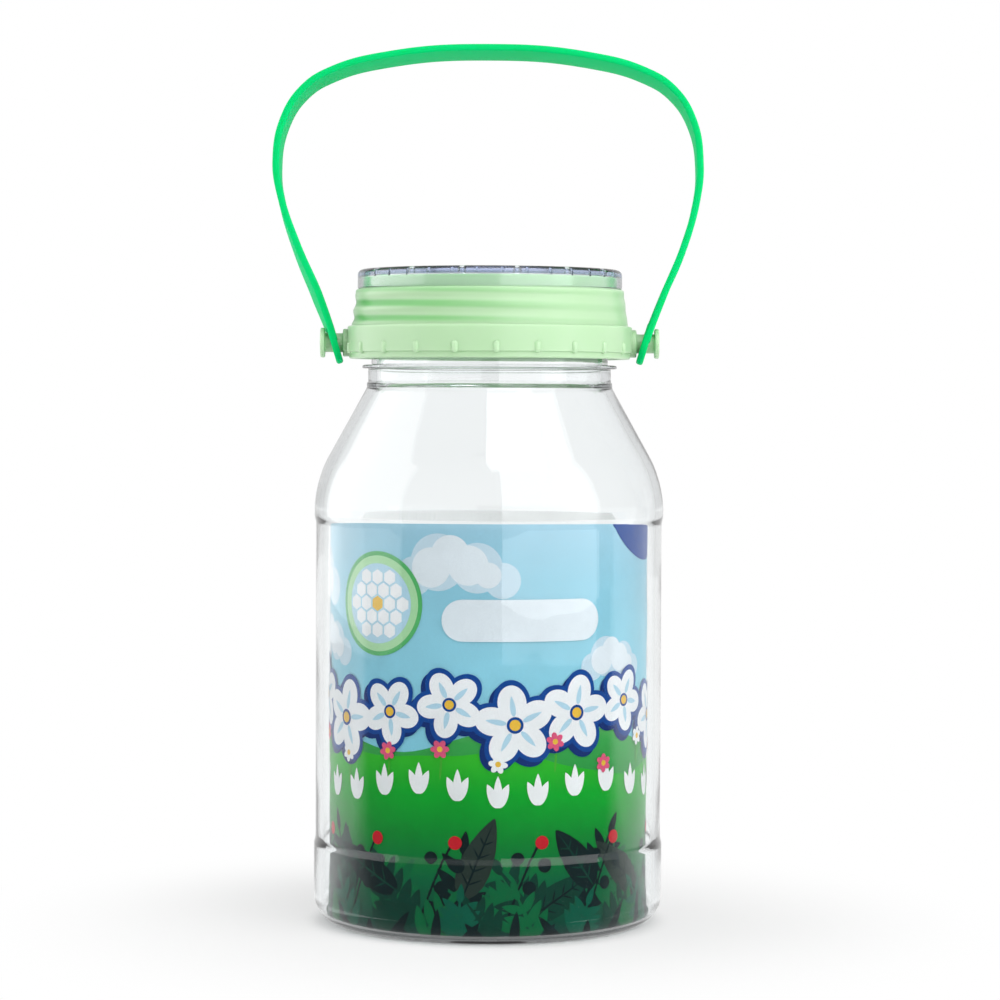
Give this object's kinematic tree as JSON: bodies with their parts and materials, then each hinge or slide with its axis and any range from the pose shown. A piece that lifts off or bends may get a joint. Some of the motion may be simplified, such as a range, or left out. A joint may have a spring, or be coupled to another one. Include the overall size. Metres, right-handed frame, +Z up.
{
  "type": "bug catcher jar",
  "caption": "Clear wide-mouth jar with a printed sleeve inside, a ribbed screw ring, a clear magnifier cap with breathing holes, and a swinging strip handle.",
  "frame": {"origin": "centre of the ring that the jar stands on, on the ground plane", "axes": "+Z up along the jar's axis, X through the two handle pins, the front of the print towards -Y"},
  "size_m": [0.1252, 0.1006, 0.254],
  "materials": {
    "clear_jar": "clear, polished",
    "printed_card": "printed, satin",
    "foam_washer": "matt",
    "pale_green": "translucent, satin",
    "clear_lens": "clear, polished",
    "bright_green": "satin"
  },
  "bodies": {
    "jar": {"jar_body": "clear_jar", "label_insert": "printed_card"},
    "seal": {"seal_washer": "foam_washer"},
    "cap": {"magnifier_cap": "clear_lens"},
    "ring": {"screw_ring": "pale_green"},
    "handle": {"carry_handle": "bright_green"}
  },
  "joints": [
    {"name": "lid_lift", "type": "slide", "parent": "jar", "child": "seal", "axis": [0, 0, 1], "range_m": [0, 0.06]},
    {"name": "lid_rise", "type": "slide", "parent": "seal", "child": "cap", "axis": [0, 0, 1], "range_m": [0, 0.00635]},
    {"name": "lid_turn", "type": "hinge", "parent": "cap", "child": "ring", "pos_m": [0, 0, 0.172], "axis": [0, 0, 1], "range_deg": [0, 540]},
    {"name": "handle_swing", "type": "hinge", "parent": "ring", "child": "handle", "pos_m": [0, 0, 0.167], "axis": [1, 0, 0], "range_deg": [-128, 146]}
  ],
  "couplings": [
    {"joint": "lid_rise", "follows": "lid_turn", "m_per_rad": 0.00067322}
  ]
}
